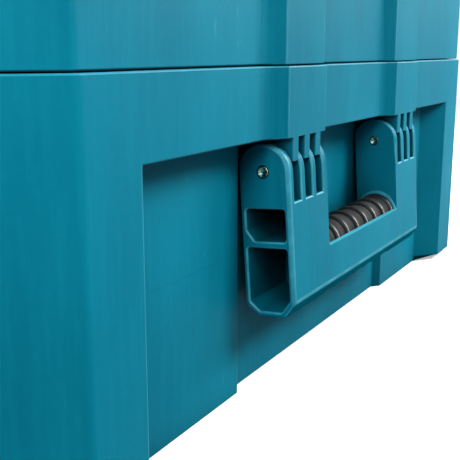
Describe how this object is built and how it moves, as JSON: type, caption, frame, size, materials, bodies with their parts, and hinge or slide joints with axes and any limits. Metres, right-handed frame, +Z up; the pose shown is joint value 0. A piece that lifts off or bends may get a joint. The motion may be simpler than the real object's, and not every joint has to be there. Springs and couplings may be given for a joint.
{
  "type": "hard tool case",
  "caption": "Stackable moulded tool case with a hinged lid, side latches, a swinging front carry handle and a fold-flat lid handle.",
  "frame": {"origin": "middle of the base that the case stands on", "axes": "+X to the right along the long front, +Y from the handle side to the rear hinge, +Z up"},
  "size_m": [0.395, 0.2942, 0.157],
  "materials": {
    "shell_plastic": "teal injection-moulded plastic, satin with a fine spark-eroded grain",
    "handle_plastic": "teal injection-moulded plastic, satin",
    "latch_plastic": "teal injection-moulded plastic, satin",
    "soft_grip": "dark grey ribbed soft elastomer",
    "seal_rubber": "black elastomer",
    "pin_steel": "plain turned steel"
  },
  "bodies": {
    "case": {"body_shell": "shell_plastic", "handle_pin_left": "pin_steel", "handle_pin_right": "pin_steel", "latch_pin_left_front": "pin_steel", "latch_pin_left_rear": "pin_steel", "latch_pin_right_front": "pin_steel", "latch_pin_right_rear": "pin_steel", "hinge_pin_left": "pin_steel", "hinge_pin_right": "pin_steel"},
    "lid": {"lid_shell": "shell_plastic", "lid_seal": "seal_rubber", "lid_handle_pin_left": "pin_steel", "lid_handle_pin_right": "pin_steel"},
    "handle": {"handle_frame": "handle_plastic", "handle_grip": "soft_grip"},
    "lid_handle": {"lid_handle_frame": "handle_plastic", "lid_handle_grip": "soft_grip"},
    "latch_left_front": {"latch_left_front": "latch_plastic"},
    "latch_left_rear": {"latch_left_rear": "latch_plastic"},
    "latch_right_front": {"latch_right_front": "latch_plastic"},
    "latch_right_rear": {"latch_right_rear": "latch_plastic"}
  },
  "joints": [
    {"name": "lid_hinge", "type": "hinge", "parent": "case", "child": "lid", "pos_m": [0, 0.1429, 0.1192], "axis": [-1, 0, 0], "range_deg": [0, 105]},
    {"name": "handle_swing", "type": "hinge", "parent": "case", "child": "handle", "pos_m": [0, -0.13335, 0.0825], "axis": [-1, 0, 0], "range_deg": [0, 88]},
    {"name": "lid_handle_swing", "type": "hinge", "parent": "lid", "child": "lid_handle", "pos_m": [0, 0.0285, 0.1466], "axis": [-1, 0, 0], "range_deg": [0, 90]},
    {"name": "latch_left_front_turn", "type": "hinge", "parent": "case", "child": "latch_left_front", "pos_m": [-0.1875, -0.078, 0.081], "axis": [0, -1, 0], "range_deg": [-5, 90]},
    {"name": "latch_left_rear_turn", "type": "hinge", "parent": "case", "child": "latch_left_rear", "pos_m": [-0.1875, 0.078, 0.081], "axis": [0, -1, 0], "range_deg": [-5, 90]},
    {"name": "latch_right_front_turn", "type": "hinge", "parent": "case", "child": "latch_right_front", "pos_m": [0.1875, -0.078, 0.081], "axis": [0, 1, 0], "range_deg": [-5, 90]},
    {"name": "latch_right_rear_turn", "type": "hinge", "parent": "case", "child": "latch_right_rear", "pos_m": [0.1875, 0.078, 0.081], "axis": [0, 1, 0], "range_deg": [-5, 90]}
  ]
}
